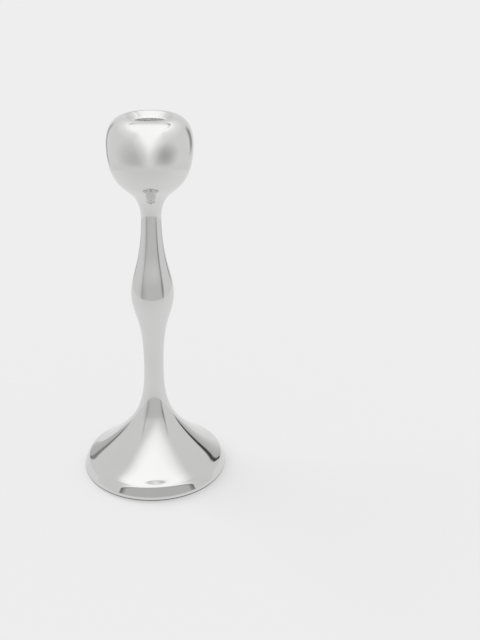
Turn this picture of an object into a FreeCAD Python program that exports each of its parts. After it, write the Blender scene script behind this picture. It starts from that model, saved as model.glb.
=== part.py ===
import FreeCAD, Part
import math
import os

# A weighted, silver-plated candlestick made of spun shells round one tie rod.
# Millimetres, +Z up, origin at the middle of the face that the stick stands on.

# ---- driving dimensions ----------------------------------------------------
HEIGHT = 240.0              # table to the crest of the rim
FOOT_RADIUS = 47.0          # widest part of the foot
KNOP_RADIUS = 13.65         # swelling half way up the stem
CREST_RADIUS = 15.0         # circle along the top of the rim
WALL = 1.2                  # thickness of the spun shells
LIP_GAP = 0.6               # table to the underside of the metal lip
LIP_ROLL = 2.0              # outer radius of the lip's rolled edge
LIP_FLANGE = 3.0            # width of the flat turned in under the foot

CANDLE_RADIUS = 11.0        # hole for a standard 22 mm dinner candle
CUP_WALL = 0.8
CUP_FLOOR = 1.2
CUP_DEPTH = 24.0            # from the mouth of the candle hole to the cup's floor
RIM_ROLL = 1.5              # outer radius of the rim's rolled crest
FUNNEL_SLOPE = 50.0         # degrees below level, from the crest down to the hole

ROD_RADIUS = 2.5
ROD_CLEARANCE = 0.2
ROD_END_CHAMFER = 0.6
ROD_ENGAGEMENT = 8.0        # length of rod screwed into the boss
BOSS_RADIUS = 7.0
BOSS_HEIGHT = 10.0

SLEEVE_LENGTH = 16.0
SLEEVE_FIT = 0.03           # radial clearance of a sleeve in its shells
DISC_RIM_THICKNESS = 5.0    # knop disc, at its rim
DISC_HUB_RADIUS = 5.0
DISC_HUB_LENGTH = 10.0
DISC_FIT = 0.15
BAND_THICKNESS = 0.8
BAND_WIDTH = 8.0
BAND_FIT = 0.02

PLATE_THICKNESS = 1.0
PLATE_FIT = 0.2
FELT_FIT = 0.2
BALLAST_TOP = 17.0
BALLAST_BEDDING = 0.3       # film of cement between the ballast and the foot
BALLAST_CLEARANCE = 0.2     # ballast to base plate
WELL_RADIUS = 9.0           # recess for the nut in the ballast's underside
WELL_TOP = 12.0

WASHER_RADIUS = 7.5
WASHER_THICKNESS = 1.2
SPRING_WASHER_RADIUS = 4.6
SPRING_WASHER_THICKNESS = 1.2
SPRING_WASHER_SPLIT = 1.2
NUT_ACROSS_FLATS = 8.0
NUT_HEIGHT = 4.0
ROD_PROUD = 1.2             # rod showing below the nut

# Outline of the polished skin from the lip to the crest, as (radius, height).
LIP_HEIGHT = LIP_GAP + LIP_ROLL
RIM_DROP = 1.45
OUTLINE = [
    (FOOT_RADIUS, LIP_HEIGHT),      # lip, upright
    (45.85, 5.9),                   # steep band above the lip
    (44.9, 7.9),
    (43.9, 9.25),                   # shoulder of the foot
    (42.8, 10.1),
    (41.2, 11.1),
    (32.65, 17.35),                 # flare
    (23.45, 25.55),                 # flare
    (12.25, 39.8),                  # ankle
    (6.45, 75.9),                   # waist
    (9.3, 104.6),
    (KNOP_RADIUS, 122.8),           # knop
    (9.6, 146.3),
    (6.43, 171.55),                 # neck
    (7.54, 183.85),
    (10.15, 189.0),                 # sweep out under the bulb
    (16.05, 194.7),
    (19.8, 198.4),
    (25.9, 213.55),                 # bulb
    (19.75, HEIGHT - RIM_DROP),     # shoulder of the bulb
    (CREST_RADIUS, HEIGHT),         # crest, level
]
OFFSET_SAMPLES = 80                 # points that an offset of the outline passes through

# Heights between which the skin stands upright once, where two shells meet.
WAIST_BETWEEN = (60.0, 95.0)
KNOP_BETWEEN = (110.0, 140.0)
NECK_BETWEEN = (155.0, 180.0)
EQUATOR_BETWEEN = (205.0, 232.0)
HALVINGS = 60                       # steps of a search by halving

NUT_SIDES = 6
FULL_TURN = 360                     # degrees

AXIS_BASE = FreeCAD.Vector(0, 0, 0)
UP = FreeCAD.Vector(0, 0, 1)
INWARD = FreeCAD.Vector(-1, 0, 0)


# ---- profiles --------------------------------------------------------------
def point(radius, height):
    """A point of the half-section, in the XZ plane."""
    return FreeCAD.Vector(radius, 0, height)


def make_outline():
    """One smooth curve through the outline's points."""
    points = [point(radius, height) for radius, height in OUTLINE]
    curve = Part.BSplineCurve()
    curve.interpolate(Points=points, InitialTangent=UP, FinalTangent=INWARD, Scale=False)
    return curve


def parameter_at_height(curve, height):
    """Outline parameter at a height, found by halving, because height only grows along it."""
    low, high = curve.FirstParameter, curve.LastParameter
    for _ in range(HALVINGS):
        middle = (low + high) / 2
        if curve.value(middle).z < height:
            low = middle
        else:
            high = middle
    return (low + high) / 2


def upright_parameter(curve, heights):
    """Outline parameter between two heights where the skin stands upright."""
    low, high = [parameter_at_height(curve, height) for height in heights]
    lean_low = curve.tangent(low)[0].x
    for _ in range(HALVINGS):
        middle = (low + high) / 2
        if curve.tangent(middle)[0].x * lean_low > 0:
            low = middle
        else:
            high = middle
    return (low + high) / 2


def inside_point(curve, parameter, depth):
    """The point that lies a depth under the skin, square to it."""
    tangent = curve.tangent(parameter)[0]
    return curve.value(parameter) + FreeCAD.Vector(-tangent.z, 0, tangent.x) * depth


def inside_curve(curve, start, end, depth):
    """A curve that runs a fixed depth under the skin."""
    step = (end - start) / OFFSET_SAMPLES
    points = [inside_point(curve, start + step * i, depth) for i in range(OFFSET_SAMPLES + 1)]
    offset = Part.BSplineCurve()
    offset.interpolate(
        Points=points,
        InitialTangent=curve.tangent(start)[0],
        FinalTangent=curve.tangent(end)[0],
        Scale=False,
    )
    return offset.toShape()


def outline_piece(curve, start, end):
    """The outline's edge between two parameters."""
    return curve.toShape(start, end)


def line(start, end):
    return Part.LineSegment(start, end).toShape()


def arc(centre, radius, start_degrees, end_degrees):
    """An arc in the half-section; degrees count from outward, through up."""
    middle_degrees = (start_degrees + end_degrees) / 2
    ends = []
    for degrees in (start_degrees, middle_degrees, end_degrees):
        angle = math.radians(degrees)
        ends.append(centre + point(radius * math.cos(angle), radius * math.sin(angle)))
    return Part.Arc(ends[0], ends[1], ends[2]).toShape()


def polygon(corners):
    """Straight edges through the corners, without closing them."""
    return [line(corners[i], corners[i + 1]) for i in range(len(corners) - 1)]


def turned(edges):
    """The solid that a closed half-section sweeps round the axis."""
    wire = Part.Wire(Part.__sortEdges__(edges))
    return Part.Face(wire).revolve(AXIS_BASE, UP, FULL_TURN)


def turned_polygon(corners):
    return turned(polygon(corners + corners[:1]))


def tube(outer, inner, bottom, top):
    """A plain ring or sleeve."""
    return turned_polygon([
        point(inner, bottom),
        point(outer, bottom),
        point(outer, top),
        point(inner, top),
    ])


def disc(radius, bottom, top):
    return Part.makeCylinder(radius, top - bottom, point(0, bottom), UP)


# ---- the joints between shells, each where the skin stands upright ----------
outline = make_outline()
LIP = outline.FirstParameter
WAIST = upright_parameter(outline, WAIST_BETWEEN)
KNOP = upright_parameter(outline, KNOP_BETWEEN)
NECK = upright_parameter(outline, NECK_BETWEEN)
EQUATOR = upright_parameter(outline, EQUATOR_BETWEEN)
CREST = outline.LastParameter

HOLE_RADIUS = CANDLE_RADIUS + CUP_WALL
SLOPE = math.radians(FUNNEL_SLOPE)
CREST_CENTRE = point(CREST_RADIUS, HEIGHT - RIM_ROLL)
ROLL_END_DEGREES = 180 - (90 - FUNNEL_SLOPE)
FUNNEL_START = CREST_CENTRE + point(-math.sin(SLOPE), math.cos(SLOPE)) * RIM_ROLL


def funnel_height(radius):
    """Height of the funnel's surface at a radius."""
    return FUNNEL_START.z - (FUNNEL_START.x - radius) * math.tan(SLOPE)


CUP_MOUTH = funnel_height(CANDLE_RADIUS)
CUP_BOTTOM = CUP_MOUTH - CUP_DEPTH - CUP_FLOOR
BOSS_BOTTOM = CUP_BOTTOM - BOSS_HEIGHT
FLANGE_TOP = LIP_GAP + WALL
PLATE_TOP = FLANGE_TOP + PLATE_THICKNESS
FLANGE_INNER = FOOT_RADIUS - LIP_ROLL - LIP_FLANGE
ROD_HOLE = ROD_RADIUS + ROD_CLEARANCE
WASHER_BOTTOM = WELL_TOP - WASHER_THICKNESS
SPRING_WASHER_BOTTOM = WASHER_BOTTOM - SPRING_WASHER_THICKNESS
NUT_BOTTOM = SPRING_WASHER_BOTTOM - NUT_HEIGHT
ROD_BOTTOM = NUT_BOTTOM - ROD_PROUD


# ---- the shells --------------------------------------------------------------
def shell(start, end):
    """A spun shell of even wall between two joints."""
    return turned([
        outline_piece(outline, start, end),
        line(outline.value(end), inside_point(outline, end, WALL)),
        inside_curve(outline, start, end, WALL),
        line(outline.value(start), inside_point(outline, start, WALL)),
    ])


def foot_shell():
    """Trumpet foot; below a steep band its edge rolls under and ends in a flat flange."""
    roll_centre = point(FOOT_RADIUS - LIP_ROLL, LIP_HEIGHT)
    flange_end = point(FLANGE_INNER, LIP_GAP)
    return turned([
        outline_piece(outline, LIP, WAIST),
        line(outline.value(WAIST), inside_point(outline, WAIST, WALL)),
        inside_curve(outline, LIP, WAIST, WALL),
        arc(roll_centre, LIP_ROLL - WALL, 0, -90),
        line(roll_centre - point(0, LIP_ROLL - WALL), point(FLANGE_INNER, FLANGE_TOP)),
        line(point(FLANGE_INNER, FLANGE_TOP), flange_end),
        line(flange_end, roll_centre - point(0, LIP_ROLL)),
        arc(roll_centre, LIP_ROLL, -90, 0),
    ])


def bulb_upper_shell():
    """Upper half of the bulb, rolled over at the rim and sloped down to the candle cup."""
    inner_roll = RIM_ROLL - WALL
    inner_start = CREST_CENTRE + point(-math.sin(SLOPE), math.cos(SLOPE)) * inner_roll
    inner_drop = (inner_start.x - HOLE_RADIUS) * math.tan(SLOPE)
    hole_top = point(HOLE_RADIUS, funnel_height(HOLE_RADIUS))
    hole_bottom = point(HOLE_RADIUS, inner_start.z - inner_drop)
    return turned([
        outline_piece(outline, EQUATOR, CREST),
        arc(CREST_CENTRE, RIM_ROLL, 90, ROLL_END_DEGREES),
        line(FUNNEL_START, hole_top),
        line(hole_top, hole_bottom),
        line(hole_bottom, inner_start),
        arc(CREST_CENTRE, inner_roll, ROLL_END_DEGREES, 90),
        inside_curve(outline, EQUATOR, CREST, WALL),
        line(inside_point(outline, EQUATOR, WALL), outline.value(EQUATOR)),
    ])


# ---- candle cup ----------------------------------------------------------------
def candle_cup():
    """Drawn cup; its lip is cut to the funnel's slope and its floor is closed."""
    floor_top = CUP_BOTTOM + CUP_FLOOR
    return turned_polygon([
        point(0, CUP_BOTTOM),
        point(HOLE_RADIUS, CUP_BOTTOM),
        point(HOLE_RADIUS, funnel_height(HOLE_RADIUS)),
        point(CANDLE_RADIUS, CUP_MOUTH),
        point(CANDLE_RADIUS, floor_top),
        point(0, floor_top),
    ])


def cup_boss():
    """Blind threaded boss brazed under the cup's floor."""
    hole_top = BOSS_BOTTOM + ROD_ENGAGEMENT
    return turned_polygon([
        point(ROD_RADIUS, BOSS_BOTTOM),
        point(BOSS_RADIUS, BOSS_BOTTOM),
        point(BOSS_RADIUS, CUP_BOTTOM),
        point(0, CUP_BOTTOM),
        point(0, hole_top),
        point(ROD_RADIUS, hole_top),
    ])


# ---- what lines the shells up and pulls them together ---------------------------
def joint_sleeve(parameter):
    """Sleeve inside a narrow joint, half of it in each shell."""
    seat = inside_point(outline, parameter, WALL)
    outer = seat.x - SLEEVE_FIT
    return tube(outer, ROD_HOLE, seat.z - SLEEVE_LENGTH / 2, seat.z + SLEEVE_LENGTH / 2)


def knop_centring_disc():
    """Disc that fills the knop's joint, with a longer hub on the rod."""
    seat = inside_point(outline, KNOP, WALL)
    rim = seat.x - DISC_FIT
    half_rim = DISC_RIM_THICKNESS / 2
    half_hub = DISC_HUB_LENGTH / 2
    return turned_polygon([
        point(ROD_HOLE, seat.z - half_hub),
        point(DISC_HUB_RADIUS, seat.z - half_hub),
        point(DISC_HUB_RADIUS, seat.z - half_rim),
        point(rim, seat.z - half_rim),
        point(rim, seat.z + half_rim),
        point(DISC_HUB_RADIUS, seat.z + half_rim),
        point(DISC_HUB_RADIUS, seat.z + half_hub),
        point(ROD_HOLE, seat.z + half_hub),
    ])


def bulb_joint_band():
    """Band that follows the inside of the bulb across its joint."""
    seat = outline.value(EQUATOR)
    start = parameter_at_height(outline, seat.z - BAND_WIDTH / 2)
    end = parameter_at_height(outline, seat.z + BAND_WIDTH / 2)
    outer = WALL + BAND_FIT
    inner = outer + BAND_THICKNESS
    return turned([
        inside_curve(outline, start, end, outer),
        line(inside_point(outline, end, outer), inside_point(outline, end, inner)),
        inside_curve(outline, start, end, inner),
        line(inside_point(outline, start, outer), inside_point(outline, start, inner)),
    ])


def tie_rod():
    """Rod from the foot nut to the cup boss, chamfered at both ends."""
    top = BOSS_BOTTOM + ROD_ENGAGEMENT
    tip = ROD_RADIUS - ROD_END_CHAMFER
    return turned_polygon([
        point(0, ROD_BOTTOM),
        point(tip, ROD_BOTTOM),
        point(ROD_RADIUS, ROD_BOTTOM + ROD_END_CHAMFER),
        point(ROD_RADIUS, top - ROD_END_CHAMFER),
        point(tip, top),
        point(0, top),
    ])


# ---- the weighted foot -----------------------------------------------------------
def ballast():
    """Cast weight shaped to the foot's inside, with a rod hole and a well for the nut."""
    depth = WALL + BALLAST_BEDDING
    bottom = PLATE_TOP + BALLAST_CLEARANCE
    start = parameter_at_height(outline, bottom + depth)
    end = parameter_at_height(outline, BALLAST_TOP + depth)
    side_bottom = inside_point(outline, start, depth)
    side_top = inside_point(outline, end, depth)
    return turned(
        [inside_curve(outline, start, end, depth)]
        + polygon([
            side_top,
            point(ROD_HOLE, side_top.z),
            point(ROD_HOLE, WELL_TOP),
            point(WELL_RADIUS, WELL_TOP),
            point(WELL_RADIUS, side_bottom.z),
            side_bottom,
        ])
    )


def foot_washer():
    return tube(WASHER_RADIUS, ROD_HOLE, WASHER_BOTTOM, WELL_TOP)


def spring_washer():
    """Spring washer, split on one side."""
    ring = tube(SPRING_WASHER_RADIUS, ROD_HOLE, SPRING_WASHER_BOTTOM, WASHER_BOTTOM)
    corner = point(0, SPRING_WASHER_BOTTOM) - FreeCAD.Vector(0, SPRING_WASHER_SPLIT / 2, 0)
    split = Part.makeBox(
        SPRING_WASHER_RADIUS * 2, SPRING_WASHER_SPLIT, SPRING_WASHER_THICKNESS, corner
    )
    return ring.cut(split)


def foot_nut():
    """Hexagon nut with its corners turned off."""
    corner_radius = NUT_ACROSS_FLATS / math.sqrt(3)
    corners = []
    for i in range(NUT_SIDES + 1):
        angle = math.radians(FULL_TURN / NUT_SIDES * i)
        corners.append(
            FreeCAD.Vector(corner_radius * math.cos(angle), corner_radius * math.sin(angle), NUT_BOTTOM)
        )
    prism = Part.Face(Part.makePolygon(corners)).extrude(UP * NUT_HEIGHT)
    bevel = corner_radius - NUT_ACROSS_FLATS / 2
    blank = turned_polygon([
        point(0, NUT_BOTTOM),
        point(NUT_ACROSS_FLATS / 2, NUT_BOTTOM),
        point(corner_radius, NUT_BOTTOM + bevel),
        point(corner_radius, SPRING_WASHER_BOTTOM - bevel),
        point(NUT_ACROSS_FLATS / 2, SPRING_WASHER_BOTTOM),
        point(0, SPRING_WASHER_BOTTOM),
    ])
    return prism.common(blank).cut(disc(ROD_RADIUS, NUT_BOTTOM, SPRING_WASHER_BOTTOM))


def base_plate():
    """Disc that closes the foot; the lip's flange is rolled over its edge."""
    return disc(FOOT_RADIUS - LIP_ROLL - PLATE_FIT, FLANGE_TOP, PLATE_TOP)


def felt_pad():
    """Pad glued to the base plate inside the flange; it stands proud of the metal."""
    return disc(FLANGE_INNER - FELT_FIT, 0, FLANGE_TOP)


PARTS = {
    "foot_shell": foot_shell,
    "lower_stem_shell": lambda: shell(WAIST, KNOP),
    "upper_stem_shell": lambda: shell(KNOP, NECK),
    "bulb_lower_shell": lambda: shell(NECK, EQUATOR),
    "bulb_upper_shell": bulb_upper_shell,
    "candle_cup": candle_cup,
    "cup_boss": cup_boss,
    "bulb_joint_band": bulb_joint_band,
    "neck_sleeve": lambda: joint_sleeve(NECK),
    "knop_centring_disc": knop_centring_disc,
    "waist_sleeve": lambda: joint_sleeve(WAIST),
    "tie_rod": tie_rod,
    "ballast": ballast,
    "foot_washer": foot_washer,
    "spring_washer": spring_washer,
    "foot_nut": foot_nut,
    "base_plate": base_plate,
    "felt_pad": felt_pad,
}

os.makedirs("parts", exist_ok=True)
for name, make in PARTS.items():
    shape = make()
    shape.exportStep("parts/" + name + ".step")
    box = shape.BoundBox
    print("%-20s valid %s solids %d volume %8.0f z %7.2f to %7.2f" % (
        name, shape.isValid(), len(shape.Solids), shape.Volume, box.ZMin, box.ZMax))
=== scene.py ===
import math

import bpy
from mathutils import Matrix, Vector


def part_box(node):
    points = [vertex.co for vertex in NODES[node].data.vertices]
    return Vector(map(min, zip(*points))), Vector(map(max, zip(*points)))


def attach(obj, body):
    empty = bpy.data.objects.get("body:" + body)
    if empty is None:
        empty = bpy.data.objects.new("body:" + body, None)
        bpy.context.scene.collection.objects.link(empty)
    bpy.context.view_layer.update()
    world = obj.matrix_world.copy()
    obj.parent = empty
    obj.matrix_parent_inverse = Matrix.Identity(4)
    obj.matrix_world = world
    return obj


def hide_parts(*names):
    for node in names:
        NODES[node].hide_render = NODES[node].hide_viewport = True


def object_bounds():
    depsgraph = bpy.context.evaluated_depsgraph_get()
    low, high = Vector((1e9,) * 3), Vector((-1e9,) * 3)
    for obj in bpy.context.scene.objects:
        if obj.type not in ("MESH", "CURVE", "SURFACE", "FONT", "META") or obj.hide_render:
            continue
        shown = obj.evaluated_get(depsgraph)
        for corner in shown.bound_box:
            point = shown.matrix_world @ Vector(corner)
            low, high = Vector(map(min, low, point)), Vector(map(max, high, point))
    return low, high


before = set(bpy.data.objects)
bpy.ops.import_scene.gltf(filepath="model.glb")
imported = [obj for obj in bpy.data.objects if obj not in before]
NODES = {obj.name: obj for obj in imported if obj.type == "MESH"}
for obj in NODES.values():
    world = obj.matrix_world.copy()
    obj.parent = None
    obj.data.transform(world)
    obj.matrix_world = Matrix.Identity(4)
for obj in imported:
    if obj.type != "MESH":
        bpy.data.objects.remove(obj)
cad_low, cad_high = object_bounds()
cup_low, cup_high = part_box("candle_cup")
HOLE_RADIUS = 0.011
HOLE_FLOOR = cup_high[2] - 0.0245

# ---- camera ----------------------------------------------------------------
CAMERA_PLACE = Vector((0.053, -0.5843, 0.3745))
CAMERA_YAW = math.radians(0.22)
CAMERA_PITCH = math.radians(19.773)     # below level
CAMERA_ROLL = math.radians(0.785)
CAMERA_LENS = 55.955
CAMERA_SENSOR = 36.0
CAMERA_SHIFT_Y = -0.132                 # the frame hangs below the lens axis

# ---- turned meshes -----------------------------------------------------------
SEGMENTS = 288
RING_STEP = 0.0012                      # m along the section
RING_TURN = math.radians(3)             # of the surface between rings
SEAM_TOLERANCE = 1e-7
KEY_DIGITS = 7


def add(tree, kind, inputs=None, **settings):
    """A shader node with its settings; an input is a value or another node's output."""
    made = tree.nodes.new(kind)
    for name, value in settings.items():
        setattr(made, name, value)
    for name, value in (inputs or {}).items():
        socket = made.inputs[name]
        if isinstance(value, bpy.types.NodeSocket):
            tree.links.new(value, socket)
        else:
            socket.default_value = value
    return made


def calc(tree, operation, *values):
    return add(tree, "ShaderNodeMath", dict(enumerate(values)), operation=operation).outputs[0]


def times(tree, *values):
    product = values[0]
    for value in values[1:]:
        product = calc(tree, "MULTIPLY", product, value)
    return product


def from_axis(tree, x, y):
    return calc(tree, "SQRT", calc(tree, "MULTIPLY_ADD", x, x, calc(tree, "MULTIPLY", y, y)))


def ramp(tree, value, low, high, to_low=0.0, to_high=1.0, smooth=True):
    """value carried from low..high to to_low..to_high, held at the ends."""
    made = add(tree, "ShaderNodeMapRange", {
        "Value": value, "From Min": low, "From Max": high, "To Min": to_low, "To Max": to_high,
    }, interpolation_type="SMOOTHSTEP" if smooth else "LINEAR")
    return made.outputs["Result"]


def blend_to(tree, value, amount, other):
    """value, turned into other where amount is 1."""
    return calc(tree, "MULTIPLY_ADD", amount, calc(tree, "SUBTRACT", other, value), value)


def colour_between(tree, amount, first, second):
    made = add(tree, "ShaderNodeMix", {"Factor": amount}, data_type="RGBA")
    for socket, value in zip([s for s in made.inputs if s.type == "RGBA"], (first, second)):
        if isinstance(value, bpy.types.NodeSocket):
            tree.links.new(value, socket)
        else:
            socket.default_value = (*value, 1)
    return [s for s in made.outputs if s.type == "RGBA"][0]


def noise(tree, place, scale, detail=3.0, roughness=0.5):
    return add(tree, "ShaderNodeTexNoise", {
        "Vector": place, "Scale": scale, "Detail": detail, "Roughness": roughness,
    }).outputs["Fac"]


def new_material(name):
    material = bpy.data.materials.new(name)
    material.use_nodes = True
    tree = material.node_tree
    tree.nodes.clear()
    place = add(tree, "ShaderNodeTexCoord").outputs["Object"]
    return material, tree, place


def close_surface(tree, shader):
    add(tree, "ShaderNodeOutputMaterial", {"Surface": shader.outputs[0]})


def plate_material():
    """Polished silver plate: a mirror with faint lathe polishing and a trace of tarnish, satin in the candle hole."""
    material, tree, place = new_material("silver_plate")
    x, y, z = add(tree, "ShaderNodeSeparateXYZ", {"Vector": place}).outputs
    satin = times(tree, ramp(tree, from_axis(tree, x, y), HOLE_RADIUS * 1.01, HOLE_RADIUS * 1.09, 1.0, 0.0),
                  ramp(tree, z, HOLE_FLOOR - 0.002, HOLE_FLOOR - 0.001))
    cloud = noise(tree, place, 45.0, 4.0)
    fine = noise(tree, place, 900.0, 2.0)
    spun = add(tree, "ShaderNodeCombineXYZ", {"X": calc(tree, "MULTIPLY", x, 0.05),
                                              "Y": calc(tree, "MULTIPLY", y, 0.05), "Z": z}).outputs[0]
    rings = noise(tree, spun, 1600.0, 2.0)
    tone = colour_between(tree, ramp(tree, cloud, 0.35, 0.7), (0.73, 0.728, 0.724), (0.71, 0.708, 0.706))
    tone = colour_between(tree, satin, tone, (0.80, 0.798, 0.795))
    rough = calc(tree, "ADD", ramp(tree, cloud, 0.3, 0.75, 0.035, 0.07), ramp(tree, rings, 0.3, 0.7, 0.0, 0.02))
    rough = blend_to(tree, rough, satin, 0.5)
    height = calc(tree, "ADD", calc(tree, "MULTIPLY", rings, 0.7), calc(tree, "MULTIPLY", fine, 0.3))
    bump = add(tree, "ShaderNodeBump", {"Strength": 0.35, "Distance": 2e-6, "Height": height})
    shader = add(tree, "ShaderNodeBsdfPrincipled", {
        "Base Color": tone, "Metallic": 1.0, "Roughness": rough, "Normal": bump.outputs[0],
    })
    close_surface(tree, shader)
    return material


def metal_material(name, first, second, roughness, grain, depth, stretch=1.0):
    """A worked metal: two tones in patches, rougher in the dull ones, with marks drawn out along z."""
    material, tree, place = new_material(name)
    x, y, z = add(tree, "ShaderNodeSeparateXYZ", {"Vector": place}).outputs
    drawn = add(tree, "ShaderNodeCombineXYZ", {"X": x, "Y": y, "Z": calc(tree, "MULTIPLY", z, stretch)}).outputs[0]
    patches = noise(tree, place, grain * 0.15, 4.0)
    marks = noise(tree, drawn, grain, 5.0, 0.65)
    tone = colour_between(tree, ramp(tree, patches, 0.35, 0.65), first, second)
    worn = calc(tree, "ADD", ramp(tree, patches, 0.3, 0.7, roughness[0], roughness[1]),
                ramp(tree, marks, 0.3, 0.7, 0.0, 0.08))
    bump = add(tree, "ShaderNodeBump", {"Strength": 0.6, "Distance": depth, "Height": marks})
    shader = add(tree, "ShaderNodeBsdfPrincipled", {
        "Base Color": tone, "Metallic": 1.0, "Roughness": worn, "Normal": bump.outputs[0],
    })
    close_surface(tree, shader)
    return material


def felt_material():
    """Charcoal wool felt: matted fibres crossing at two scales, with a soft sheen."""
    material, tree, place = new_material("felt")
    warp = add(tree, "ShaderNodeTexNoise", {"Vector": place, "Scale": 260.0, "Detail": 3.0}).outputs["Color"]
    bent = add(tree, "ShaderNodeMix", {"Factor": 0.004}, data_type="VECTOR")
    vectors = [s for s in bent.inputs if s.type == "VECTOR"]
    tree.links.new(place, vectors[0])
    tree.links.new(warp, vectors[1])
    mixed = [s for s in bent.outputs if s.type == "VECTOR"][0]
    fibres = noise(tree, mixed, 2600.0, 6.0, 0.7)
    tufts = noise(tree, place, 420.0, 4.0)
    tone = colour_between(tree, ramp(tree, fibres, 0.35, 0.7), (0.012, 0.013, 0.014), (0.05, 0.052, 0.056))
    worn = ramp(tree, tufts, 0.3, 0.7, 0.85, 1.0)
    height = calc(tree, "ADD", calc(tree, "MULTIPLY", tufts, 0.6), calc(tree, "MULTIPLY", fibres, 0.4))
    bump = add(tree, "ShaderNodeBump", {"Strength": 0.9, "Distance": 3e-4, "Height": height})
    shader = add(tree, "ShaderNodeBsdfPrincipled", {
        "Base Color": tone, "Roughness": worn, "Normal": bump.outputs[0], "Sheen Weight": 0.3,
    })
    close_surface(tree, shader)
    return material


SILVER = plate_material()
FELT = felt_material()
BRASS = metal_material("brass", (0.78, 0.57, 0.25), (0.62, 0.42, 0.17), (0.22, 0.42), 1500.0, 2e-5)
STEEL = metal_material("steel", (0.50, 0.49, 0.48), (0.38, 0.37, 0.36), (0.28, 0.45), 1800.0, 1.5e-5, 0.08)
ZINC = metal_material("zinc_steel", (0.62, 0.64, 0.66), (0.50, 0.51, 0.50), (0.32, 0.50), 1100.0, 2e-5)
IRON = metal_material("cast_iron", (0.085, 0.08, 0.078), (0.14, 0.11, 0.09), (0.60, 0.80), 900.0, 2e-4)

# ---- meshes turned from the CAD sections --------------------------------------


def rounded(place):
    return tuple(round(value, KEY_DIGITS) for value in place)


def section_edges(node):
    """Edges of a turned CAD mesh in the half-plane y = 0, x > 0, each with the surface's direction at both ends.

    Kept as {frozenset of both places: [((r, z), (nr, nz)), ((r, z), (nr, nz))]}."""
    mesh = NODES[node].data
    found = {}
    for polygon in mesh.polygons:
        loops = list(polygon.loop_indices)
        for pair in zip(loops, loops[1:] + loops[:1]):
            ends = []
            for loop in pair:
                place = mesh.vertices[mesh.loops[loop].vertex_index].co
                facing = mesh.corner_normals[loop].vector
                if abs(place.y) < SEAM_TOLERANCE and place.x > SEAM_TOLERANCE:
                    ends.append(((place.x, place.z), (facing.x, facing.z)))
            key = frozenset(rounded(end[0]) for end in ends)
            if len(key) == 2:
                found[key] = ends
    return found


def section_loop(node):
    """The section's edges end to end. An open section, whose ends are flat discs, is closed at the axis."""
    edges = section_edges(node)
    meeting = {}
    for key in edges:
        for place in key:
            meeting.setdefault(place, []).append(key)
    loose = sorted(place for place, keys in meeting.items() if len(keys) == 1)
    place = loose[0] if loose else max(meeting)
    unused = set(edges)
    loop = []
    while unused:
        key = next(key for key in meeting[place] if key in unused)
        unused.discard(key)
        ends = edges[key] if rounded(edges[key][0][0]) == place else edges[key][::-1]
        loop.append(ends)
        place = rounded(ends[1][0])
    if loose:
        (first, _), (last, _) = loop[0][0], loop[-1][1]
        upward = 1.0 if first[1] > last[1] else -1.0
        loop.insert(0, [((0.0, first[1]), (0.0, upward)), (first, (0.0, upward))])
        loop.append([(last, (0.0, -upward)), ((0.0, last[1]), (0.0, -upward))])
    return loop


def curve_between(start, end):
    """Points along the smooth curve that leaves start and reaches end square to the surface's directions.

    Returns [((r, z), (nr, nz))] from start to end."""
    place0, facing0 = Vector(start[0]), Vector(start[1]).normalized()
    place1, facing1 = Vector(end[0]), Vector(end[1]).normalized()
    chord = place1 - place0
    length = chord.length
    slopes = []
    for facing in (facing0, facing1):
        along = Vector((facing.y, -facing.x))
        slopes.append(along * math.copysign(length, along.dot(chord)))
    turn = math.acos(max(-1.0, min(1.0, facing0.dot(facing1))))
    count = max(1, math.ceil(length / RING_STEP), math.ceil(turn / RING_TURN))
    if turn < math.radians(0.01):
        count = 1
    side = math.copysign(1.0, Vector((facing0.y, -facing0.x)).dot(chord))
    points = []
    for index in range(count + 1):
        t = index / count
        place = (place0 * (2 * t**3 - 3 * t**2 + 1) + slopes[0] * (t**3 - 2 * t**2 + t)
                 + place1 * (3 * t**2 - 2 * t**3) + slopes[1] * (t**3 - t**2))
        tangent = (place0 * (6 * t**2 - 6 * t) + slopes[0] * (3 * t**2 - 4 * t + 1)
                   + place1 * (6 * t - 6 * t**2) + slopes[1] * (3 * t**2 - 2 * t)).normalized() * side
        points.append(((place.x, place.y), (-tangent.y, tangent.x)))
    return points


def turned_piece(name, node, material):
    """A closed mesh turned about Z from the CAD node's section, with the surface's own directions as normals."""
    spans = []
    for start, end in section_loop(node):
        points = curve_between(start, end)
        spans.extend(zip(points, points[1:]))
    angles = [2 * math.pi * index / SEGMENTS for index in range(SEGMENTS)]
    turns = [(math.cos(angle), math.sin(angle)) for angle in angles]
    verts = []
    rings = []
    for (place, _), _ in spans:
        count = SEGMENTS if place[0] > SEAM_TOLERANCE else 1
        rings.append((len(verts), count))
        verts.extend((place[0] * c, place[0] * s, place[1]) for c, s in turns[:count])
    faces = []
    normals = []
    for index, ((place0, facing0), (place1, facing1)) in enumerate(spans):
        low, low_count = rings[index]
        high, high_count = rings[(index + 1) % len(rings)]
        outward = (place1[1] - place0[1]) * facing0[0] - (place1[0] - place0[0]) * facing0[1] > 0
        for step in range(SEGMENTS):
            after = (step + 1) % SEGMENTS
            corners = [(low, low_count, step, facing0), (low, low_count, after, facing0),
                       (high, high_count, after, facing1), (high, high_count, step, facing1)]
            if low_count == 1:
                corners.pop(1)
            if high_count == 1:
                corners.pop(2)
            if not outward:
                corners.reverse()
            faces.append([first + (turn if count > 1 else 0) for first, count, turn, _ in corners])
            normals.extend((facing[0] * turns[turn][0], facing[0] * turns[turn][1], facing[1])
                           for _, _, turn, facing in corners)
    mesh = bpy.data.meshes.new(name)
    mesh.from_pydata(verts, [], faces)
    for polygon in mesh.polygons:
        polygon.use_smooth = True
    mesh.normals_split_custom_set(normals)
    mesh.materials.append(material)
    piece = bpy.data.objects.new(name, mesh)
    bpy.context.collection.objects.link(piece)
    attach(piece, "root")
    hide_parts(node)
    return piece


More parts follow.
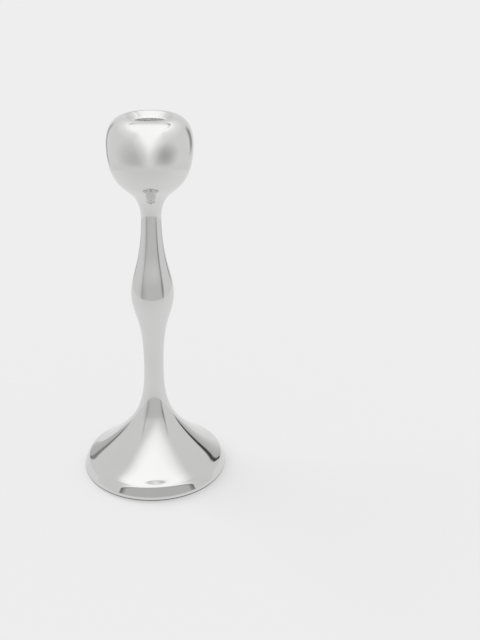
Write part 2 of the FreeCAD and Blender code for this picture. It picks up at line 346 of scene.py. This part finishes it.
for node in ("foot_shell", "lower_stem_shell", "upper_stem_shell", "bulb_lower_shell", "bulb_upper_shell",
             "candle_cup"):
    turned_piece("plated_" + node, node, SILVER)
turned_piece("wool_felt_pad", "felt_pad", FELT)

for node, material in (
    ("base_plate", ZINC), ("cup_boss", BRASS), ("tie_rod", STEEL), ("bulb_joint_band", BRASS),
    ("neck_sleeve", BRASS), ("knop_centring_disc", BRASS), ("waist_sleeve", BRASS), ("ballast", IRON),
    ("foot_washer", ZINC), ("spring_washer", STEEL), ("foot_nut", ZINC),
):
    NODES[node].data.materials.clear()
    NODES[node].data.materials.append(material)

# ---- stage: floor, soft light, and the light tent that the silver mirrors --------
FLOOR_HALF = 8.0
FLOOR_ALBEDO = 0.294
FLOOR_GLOW = 0.503                      # keeps the contact shadow faint
WORLD_STRENGTH = 0.855
SUN_STRENGTH = 1.66
SUN_SIZE = math.radians(45)
SUN_ELEVATION = math.radians(40)
SUN_AZIMUTH = math.radians(-115)        # from the left; degrees count from the front, towards +X

TENT_RADIUS = 0.435
TENT_BACK = 0.105                       # the tent's axis stands behind the object's
TENT_TOP = 1.02
TENT_SEGMENTS = 128
PANEL_HALF = 0.75
CARD_HEIGHT = 0.0003                    # mirrored floor card, just above the floor
LIP_RADIUS = cad_high[0]
LOW_CARD_RADIUS = 0.056
LOW_CARD_SPAN = (0.0045, 0.032)
LOW_CARD_ARCH = 0.029                   # height of the arch over the grey part
LOW_CARD_TURN = 6.5
LOW_CARD_HALF_TURN = 36.5               # of the grey part
LOW_CARD_REACH = 50.0                   # of the whole card
HOOD_RADIUS = 0.07                      # soft card round the bulb
HOOD_SPAN = (0.177, 0.33)
HOOD_FADE = 0.006


def staged(name, verts, faces, material):
    mesh = bpy.data.meshes.new(name)
    mesh.from_pydata(verts, [], faces)
    mesh.materials.append(material)
    made = bpy.data.objects.new(name, mesh)
    bpy.context.collection.objects.link(made)
    return made


def mirrored_only(made):
    """The object is seen in the silver and nowhere else."""
    made.visible_camera = False
    made.visible_diffuse = False
    made.visible_shadow = False
    made.visible_transmission = False
    made.visible_volume_scatter = False


def ring_verts(radius, back, height):
    turns = [2 * math.pi * index / TENT_SEGMENTS for index in range(TENT_SEGMENTS)]
    return [(radius * math.sin(turn), back - radius * math.cos(turn), height) for turn in turns]


def wall_faces():
    after = [(index + 1) % TENT_SEGMENTS for index in range(TENT_SEGMENTS)]
    return [(i, j, TENT_SEGMENTS + j, TENT_SEGMENTS + i) for i, j in enumerate(after)]


def bearing(tree, x, y):
    """Direction from the object's axis in degrees: 0 in front, 90 towards +X."""
    return calc(tree, "DEGREES", calc(tree, "ARCTAN2", x, calc(tree, "MULTIPLY", y, -1.0)))


def off(tree, value, centre):
    return calc(tree, "ABSOLUTE", calc(tree, "SUBTRACT", value, centre))


def shade_spot(tree, turn, z, centre, height, half_turn, half_height, depth):
    """Factor that darkens a soft oval patch by depth at its middle."""
    across = calc(tree, "DIVIDE", calc(tree, "SUBTRACT", turn, centre), half_turn)
    upward = calc(tree, "DIVIDE", calc(tree, "SUBTRACT", z, height), half_height)
    away = calc(tree, "SQRT", calc(tree, "ADD", times(tree, across, across), times(tree, upward, upward)))
    return ramp(tree, away, 0.0, 1.0, 1.0 - depth, 1.0)


def shade_slot(tree, turn, z, centre, half_turn, low, high, soft, depth):
    """Factor that darkens an upright slot by depth."""
    inside = times(tree, ramp(tree, off(tree, turn, centre), half_turn * 0.5, half_turn * 1.5, depth, 0.0),
                   ramp(tree, z, low - soft, low + soft), ramp(tree, z, high - soft, high + soft, 1.0, 0.0))
    return calc(tree, "SUBTRACT", 1.0, inside)


def rounded_off(tree, turn, centre, blunt):
    """Distance in degrees from a direction, blunted near it."""
    away = calc(tree, "SUBTRACT", turn, centre)
    squared = calc(tree, "MULTIPLY_ADD", away, away, blunt * blunt)
    return calc(tree, "SUBTRACT", calc(tree, "SQRT", squared), blunt)


def glow(tree, value):
    made = add(tree, "ShaderNodeEmission", {"Strength": value})
    close_surface(tree, made)


def tent_material():
    """Walls that brighten upwards, most in front, with a duller doorway, seams and dark gaps at the sides."""
    material, tree, place = new_material("tent")
    x, y, z = add(tree, "ShaderNodeSeparateXYZ", {"Vector": place}).outputs
    turn = bearing(tree, x, y)
    lean = calc(tree, "MULTIPLY_ADD", z, -50.0, 28.0)
    away = rounded_off(tree, calc(tree, "SUBTRACT", turn, lean), 0.0, 24.0)
    lift = calc(tree, "MULTIPLY_ADD", away, -0.0060, z)
    value = calc(tree, "ADD", ramp(tree, lift, 0.12, 0.38, 0.77, 0.96), ramp(tree, lift, 0.13, 0.63, 0.0, 0.31))
    doorway = times(tree, ramp(tree, off(tree, turn, 6.0), 54.0, 59.0, 1.0, 0.0),
                    ramp(tree, z, 0.12, 0.24, 0.19, 0.0))
    seams = calc(tree, "ADD", ramp(tree, off(tree, turn, -52.0), 0.0, 7.0, 0.26, 0.0),
                 ramp(tree, off(tree, turn, 62.0), 0.0, 7.0, 0.34, 0.0))
    seams = times(tree, seams, ramp(tree, z, 0.22, 0.42, 1.0, 0.0))
    value = times(
        tree, value, calc(tree, "SUBTRACT", 1.0, doorway), calc(tree, "SUBTRACT", 1.0, seams),
        shade_spot(tree, turn, z, -50.0, 0.07, 33.0, 0.15, 0.17),
        shade_spot(tree, turn, z, 60.0, 0.11, 14.0, 0.15, 0.35),
        shade_slot(tree, turn, z, -132.0, 2.6, 0.05, 0.28, 0.03, 0.62),
        shade_slot(tree, turn, z, 133.0, 2.8, 0.05, 0.31, 0.03, 0.92),
    )
    value = blend_to(tree, value, ramp(tree, off(tree, turn, -4.0), 138.0, 166.0), 0.93)
    behind = calc(tree, "ABSOLUTE", turn)
    value = calc(tree, "MULTIPLY", value, calc(tree, "SUBTRACT", 1.0, times(
        tree, ramp(tree, behind, 130.0, 136.0), ramp(tree, behind, 137.0, 166.0, 0.28, 0.0))))
    glow(tree, value)
    return material


def hood_material():
    """A soft card round the bulb: a bright wedge that narrows downwards between two soft grey patches."""
    material, tree, place = new_material("hood")
    x, y, z = add(tree, "ShaderNodeSeparateXYZ", {"Vector": place}).outputs
    turn = bearing(tree, x, y)
    lean = calc(tree, "MULTIPLY_ADD", z, 46.0, -7.5)
    away = rounded_off(tree, calc(tree, "SUBTRACT", turn, lean), 0.0, 4.0)
    near = calc(tree, "MINIMUM", away, 35.0)
    past = calc(tree, "SUBTRACT", away, near)
    lift = calc(tree, "SUBTRACT", z, calc(tree, "MULTIPLY_ADD", near, 0.0020, times(tree, past, 0.0003)))
    value = calc(tree, "ADD", ramp(tree, lift, 0.165, 0.19, 0.81, 0.91), ramp(tree, lift, 0.185, 0.25, 0.0, 0.37))
    value = times(
        tree, value,
        shade_spot(tree, turn, z, -31.0, 0.20, 55.0, 0.054, 0.26),
        shade_spot(tree, turn, z, 38.0, 0.209, 39.0, 0.037, 0.41),
        shade_slot(tree, turn, z, -125.0, 6.0, 0.185, 0.25, 0.012, 0.42),
        shade_slot(tree, turn, z, 120.0, 8.0, 0.205, 0.247, 0.012, 0.55),
    )
    value = blend_to(tree, value, ramp(tree, z, 0.182, 0.198, 1.0, 0.0), 0.78)
    back = ramp(tree, z, 0.210, 0.225, 1.11, 0.79)
    value = blend_to(tree, value, ramp(tree, calc(tree, "ABSOLUTE", turn), 140.0, 180.0), back)
    low, high = HOOD_SPAN
    shown = times(tree, ramp(tree, z, low, low + HOOD_FADE), ramp(tree, z, high - HOOD_FADE, high, 1.0, 0.0))
    card = add(tree, "ShaderNodeEmission", {"Strength": value})
    clear = add(tree, "ShaderNodeBsdfTransparent")
    close_surface(tree, add(tree, "ShaderNodeMixShader", {0: shown, 1: clear.outputs[0], 2: card.outputs[0]}))
    return material


def depth_glow(name, front, back, front_glow, back_glow):
    """A flat card whose glow changes from front to back, along Y."""
    material, tree, place = new_material(name)
    y = add(tree, "ShaderNodeSeparateXYZ", {"Vector": place}).outputs["Y"]
    glow(tree, ramp(tree, y, front, back, front_glow, back_glow))
    return material


def floor_card_material():
    """The floor as the silver mirrors it: a glowing card, duller in front, with a painted contact shadow where the
    lip meets it.
    """
    material, tree, place = new_material("tent_floor")
    x, y, z = add(tree, "ShaderNodeSeparateXYZ", {"Vector": place}).outputs
    tone = ramp(tree, y, -0.45, 0.10, 0.735, 0.845)
    # painted contact shadow: the glow drops to 0.2 inside the lip's radius and comes back over 2.2 mm outside it
    glow(tree, times(tree, tone, ramp(tree, from_axis(tree, x, y), LIP_RADIUS, LIP_RADIUS + 0.0022, 0.2, 1.0)))
    return material


def low_card_material():
    """A low card close in front of the foot, grey under an arch and bright above it."""
    material, tree, place = new_material("low_card")
    x, y, z = add(tree, "ShaderNodeSeparateXYZ", {"Vector": place}).outputs
    aside = off(tree, bearing(tree, x, y), LOW_CARD_TURN)
    slope = calc(tree, "POWER", calc(tree, "DIVIDE", aside, LOW_CARD_HALF_TURN), 2.0)
    above = calc(tree, "MULTIPLY_ADD", slope, LOW_CARD_ARCH * 0.70, calc(tree, "SUBTRACT", z, LOW_CARD_ARCH))
    grey = ramp(tree, above, -0.007, -0.001, 0.57, 0.44)
    grey = times(tree, grey, ramp(tree, aside, LOW_CARD_HALF_TURN - 7.0, LOW_CARD_HALF_TURN - 1.0, 1.0, 0.5))
    white = ramp(tree, aside, 24.0, 40.0, 1.25, 0.76)
    under = times(tree, ramp(tree, above, -0.0005, 0.0010, 1.0, 0.0),
                  ramp(tree, aside, LOW_CARD_HALF_TURN - 1.0, LOW_CARD_HALF_TURN + 1.0, 1.0, 0.0))
    tone = blend_to(tree, white, under, grey)
    low, high = LOW_CARD_SPAN
    shown = times(tree, ramp(tree, z, low, low + 0.001), ramp(tree, z, high - 0.003, high, 1.0, 0.0),
                  ramp(tree, aside, LOW_CARD_REACH, LOW_CARD_REACH + 14.0, 1.0, 0.0))
    card = add(tree, "ShaderNodeEmission", {"Strength": tone})
    clear = add(tree, "ShaderNodeBsdfTransparent")
    close_surface(tree, add(tree, "ShaderNodeMixShader", {0: shown, 1: clear.outputs[0], 2: card.outputs[0]}))
    return material


def floor_material():
    """Pale seamless paper, partly lit from below so that shadows stay soft."""
    material, tree, place = new_material("floor")
    grain = noise(tree, place, 500.0, 3.0)
    bump = add(tree, "ShaderNodeBump", {"Strength": 0.05, "Distance": 1e-4, "Height": grain})
    paper = add(tree, "ShaderNodeBsdfDiffuse", {"Color": (FLOOR_ALBEDO,) * 3 + (1,), "Normal": bump.outputs[0]})
    light = add(tree, "ShaderNodeEmission", {"Strength": FLOOR_GLOW})
    close_surface(tree, add(tree, "ShaderNodeAddShader", {0: paper.outputs[0], 1: light.outputs[0]}))
    return material


def make_stage():
    half = FLOOR_HALF
    staged("floor", [(-half, -half, 0), (half, -half, 0), (half, half, 0), (-half, half, 0)], [(0, 1, 2, 3)],
           floor_material())
    mirrored_only(staged(
        "tent_wall", ring_verts(TENT_RADIUS, TENT_BACK, 0.0) + ring_verts(TENT_RADIUS, TENT_BACK, TENT_TOP),
        wall_faces(), tent_material()))
    mirrored_only(staged(
        "tent_floor", ring_verts(TENT_RADIUS, TENT_BACK, CARD_HEIGHT), [tuple(range(TENT_SEGMENTS))],
        floor_card_material()))
    half = PANEL_HALF
    mirrored_only(staged(
        "tent_panel", [(-half, -half, TENT_TOP), (half, -half, TENT_TOP), (half, half, TENT_TOP),
                       (-half, half, TENT_TOP)],
        [(0, 1, 2, 3)], depth_glow("tent_panel", 0.11, 0.73, 1.28, 0.75)))
    mirrored_only(staged(
        "low_card", ring_verts(LOW_CARD_RADIUS, 0.0, LOW_CARD_SPAN[0]) + ring_verts(LOW_CARD_RADIUS, 0.0, LOW_CARD_SPAN[1]),
        wall_faces(), low_card_material()))
    mirrored_only(staged(
        "bulb_hood", ring_verts(HOOD_RADIUS, 0.0, HOOD_SPAN[0]) + ring_verts(HOOD_RADIUS, 0.0, HOOD_SPAN[1]),
        wall_faces(), hood_material()))


def make_light():
    world = bpy.data.worlds.new("studio")
    world.use_nodes = True
    background = world.node_tree.nodes["Background"]
    background.inputs["Color"].default_value = (1, 1, 1, 1)
    background.inputs["Strength"].default_value = WORLD_STRENGTH
    bpy.context.scene.world = world
    data = bpy.data.lights.new("soft_sun", "SUN")
    data.energy = SUN_STRENGTH
    data.angle = SUN_SIZE
    sun = bpy.data.objects.new("soft_sun", data)
    towards = Vector((math.sin(SUN_AZIMUTH) * math.cos(SUN_ELEVATION),
                      -math.cos(SUN_AZIMUTH) * math.cos(SUN_ELEVATION), math.sin(SUN_ELEVATION)))
    sun.rotation_euler = towards.to_track_quat("Z", "Y").to_euler()
    sun.visible_glossy = False
    bpy.context.collection.objects.link(sun)


def make_camera():
    forward = Vector((
        math.sin(CAMERA_YAW) * math.cos(CAMERA_PITCH),
        math.cos(CAMERA_YAW) * math.cos(CAMERA_PITCH),
        -math.sin(CAMERA_PITCH),
    ))
    level = Vector((math.cos(CAMERA_YAW), -math.sin(CAMERA_YAW), 0))
    upright = level.cross(forward)
    right = level * math.cos(CAMERA_ROLL) + upright * math.sin(CAMERA_ROLL)
    up = upright * math.cos(CAMERA_ROLL) - level * math.sin(CAMERA_ROLL)
    data = bpy.data.cameras.new("camera")
    data.lens = CAMERA_LENS
    data.sensor_width = CAMERA_SENSOR
    data.shift_y = CAMERA_SHIFT_Y
    data.clip_start = 0.01
    data.clip_end = 50
    camera = bpy.data.objects.new("camera", data)
    axes = Matrix((right, up, -forward)).transposed().to_4x4()
    camera.matrix_world = Matrix.Translation(CAMERA_PLACE) @ axes
    bpy.context.collection.objects.link(camera)
    bpy.context.scene.camera = camera


make_stage()
make_light()
make_camera()
settings = bpy.context.scene.view_settings
settings.view_transform = "Standard"
settings.look = "None"
